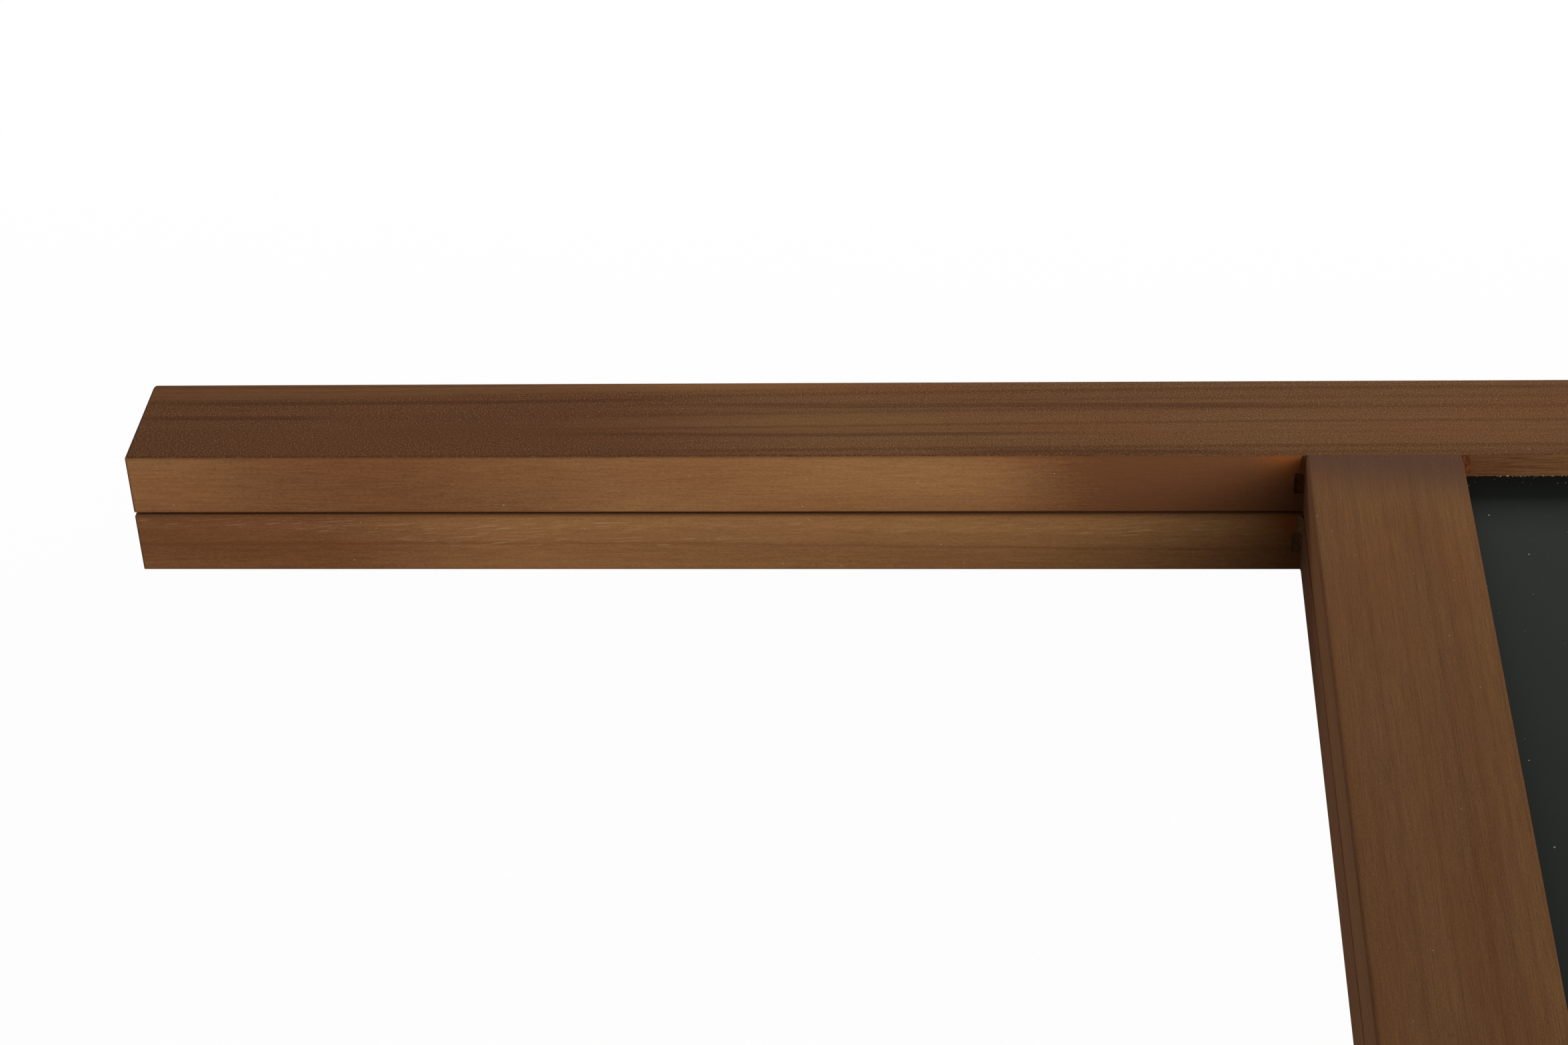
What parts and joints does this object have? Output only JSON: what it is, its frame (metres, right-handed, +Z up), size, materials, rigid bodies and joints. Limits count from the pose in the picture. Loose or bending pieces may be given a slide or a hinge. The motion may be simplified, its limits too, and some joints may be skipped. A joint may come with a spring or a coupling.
{
  "type": "sidewalk chalkboard sign",
  "caption": "Folding wooden A-frame sidewalk sign with framed chalkboards, long legs, let-in hinges and hooked side stays, lying folded flat.",
  "frame": {"origin": "middle of the folded sign's length and width, on the surface that it lies on", "axes": "+X along the legs from the feet to the hinges, +Y across to the left leg as seen from the sign's front, +Z up out of the front frame's face"},
  "size_m": [1.2064, 0.6128, 0.0408],
  "materials": {
    "stained_timber": "brown stain under a thin satin varnish, pores open",
    "chalkboard": "matt grey-green writing surface, dusty",
    "hinge_steel": "zinc plated",
    "stay_steel": "zinc plated, rubbed where it swings",
    "screw_steel": "yellow-grey passivated zinc"
  },
  "bodies": {
    "back_frame": {"back_left_leg": "stained_timber", "back_right_leg": "stained_timber", "back_top_rail": "stained_timber", "back_bottom_rail": "stained_timber", "back_chalkboard": "chalkboard", "left_hinge_back_leaf": "hinge_steel", "right_hinge_back_leaf": "hinge_steel", "left_hinge_pin": "hinge_steel", "right_hinge_pin": "hinge_steel", "back_hinge_screws": "screw_steel", "left_stay_pivot": "screw_steel", "left_stay_washer": "screw_steel", "right_stay_pivot": "screw_steel", "right_stay_washer": "screw_steel"},
    "front_frame": {"front_left_leg": "stained_timber", "front_right_leg": "stained_timber", "front_top_rail": "stained_timber", "front_bottom_rail": "stained_timber", "front_chalkboard": "chalkboard", "left_hinge_front_leaf": "hinge_steel", "right_hinge_front_leaf": "hinge_steel", "front_hinge_screws": "screw_steel", "left_stay_peg": "screw_steel", "right_stay_peg": "screw_steel"},
    "left_stay": {"left_stay_bar": "stay_steel"},
    "right_stay": {"right_stay_bar": "stay_steel"}
  },
  "joints": [
    {"name": "fold", "type": "hinge", "parent": "back_frame", "child": "front_frame", "pos_m": [0.59915, 0, 0.0204], "axis": [0, 1, 0], "range_deg": [0, 28]},
    {"name": "left_stay_swing", "type": "hinge", "parent": "back_frame", "child": "left_stay", "pos_m": [0.0368, 0.30225, 0.01], "axis": [0, -1, 0], "range_deg": [0, 83.33]},
    {"name": "right_stay_swing", "type": "hinge", "parent": "back_frame", "child": "right_stay", "pos_m": [0.0368, -0.30225, 0.01], "axis": [0, -1, 0], "range_deg": [0, 83.33]}
  ]
}
